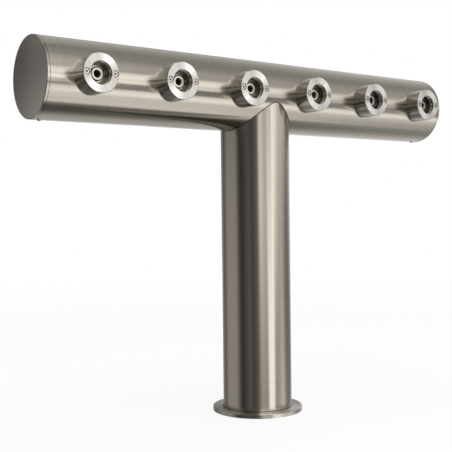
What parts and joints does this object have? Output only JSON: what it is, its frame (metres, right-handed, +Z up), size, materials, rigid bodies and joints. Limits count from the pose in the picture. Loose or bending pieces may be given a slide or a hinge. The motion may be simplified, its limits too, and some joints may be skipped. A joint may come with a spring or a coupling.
{
  "type": "beer tower",
  "caption": "T-shaped stainless beer tower: a round column on a base flange carries a round beam with a row of threaded tap ports, pull-off end caps and inner beer lines.",
  "frame": {"origin": "centre of the base flange's underside, on the column's axis", "axes": "+X along the beam to the right, -Y towards the drinker out of the tap ports, +Z up the column"},
  "size_m": [0.6, 0.1212, 0.4367],
  "materials": {
    "tube_steel": "circumferentially brushed stainless steel",
    "cap_steel": "matte stainless steel plate",
    "turned_steel": "turned stainless steel",
    "line_steel": "drawn stainless steel tube",
    "screw_steel": "plain stainless steel",
    "nut_steel": "plain stainless steel",
    "seal_rubber": "moulded black rubber",
    "insulation_foam": "closed-cell foam"
  },
  "bodies": {
    "tower": {"beam_tube": "tube_steel", "column_tube": "tube_steel", "base_flange": "turned_steel", "fixing_nuts": "nut_steel", "base_seal": "seal_rubber", "cap_screws": "screw_steel", "cap_nuts": "nut_steel", "tap_boss_1": "turned_steel", "tap_boss_2": "turned_steel", "tap_boss_3": "turned_steel", "tap_boss_4": "turned_steel", "tap_boss_5": "turned_steel", "tap_boss_6": "turned_steel", "boss_screws_1": "screw_steel", "boss_screws_2": "screw_steel", "boss_screws_3": "screw_steel", "boss_screws_4": "screw_steel", "boss_screws_5": "screw_steel", "boss_screws_6": "screw_steel", "line_nozzle_1": "turned_steel", "line_nozzle_2": "turned_steel", "line_nozzle_3": "turned_steel", "line_nozzle_4": "turned_steel", "line_nozzle_5": "turned_steel", "line_nozzle_6": "turned_steel", "nozzle_seal_1": "seal_rubber", "nozzle_seal_2": "seal_rubber", "nozzle_seal_3": "seal_rubber", "nozzle_seal_4": "seal_rubber", "nozzle_seal_5": "seal_rubber", "nozzle_seal_6": "seal_rubber", "backing_plate_1": "nut_steel", "backing_plate_2": "nut_steel", "backing_plate_3": "nut_steel", "backing_plate_4": "nut_steel", "backing_plate_5": "nut_steel", "backing_plate_6": "nut_steel", "lock_nut_1": "nut_steel", "lock_nut_2": "nut_steel", "lock_nut_3": "nut_steel", "lock_nut_4": "nut_steel", "lock_nut_5": "nut_steel", "lock_nut_6": "nut_steel", "beer_line_1": "line_steel", "beer_line_2": "line_steel", "beer_line_3": "line_steel", "beer_line_4": "line_steel", "beer_line_5": "line_steel", "beer_line_6": "line_steel", "coolant_line": "line_steel", "line_grommet": "seal_rubber", "beam_insulation": "insulation_foam", "column_insulation": "insulation_foam"},
    "left_cap": {"left_end_cap": "cap_steel", "left_cap_seal": "seal_rubber"},
    "right_cap": {"right_end_cap": "cap_steel", "right_cap_seal": "seal_rubber"}
  },
  "joints": [
    {"name": "left_cap_pull", "type": "slide", "parent": "tower", "child": "left_cap", "axis": [-1, 0, 0], "range_m": [0, 0.05]},
    {"name": "right_cap_pull", "type": "slide", "parent": "tower", "child": "right_cap", "axis": [1, 0, 0], "range_m": [0, 0.05]}
  ]
}
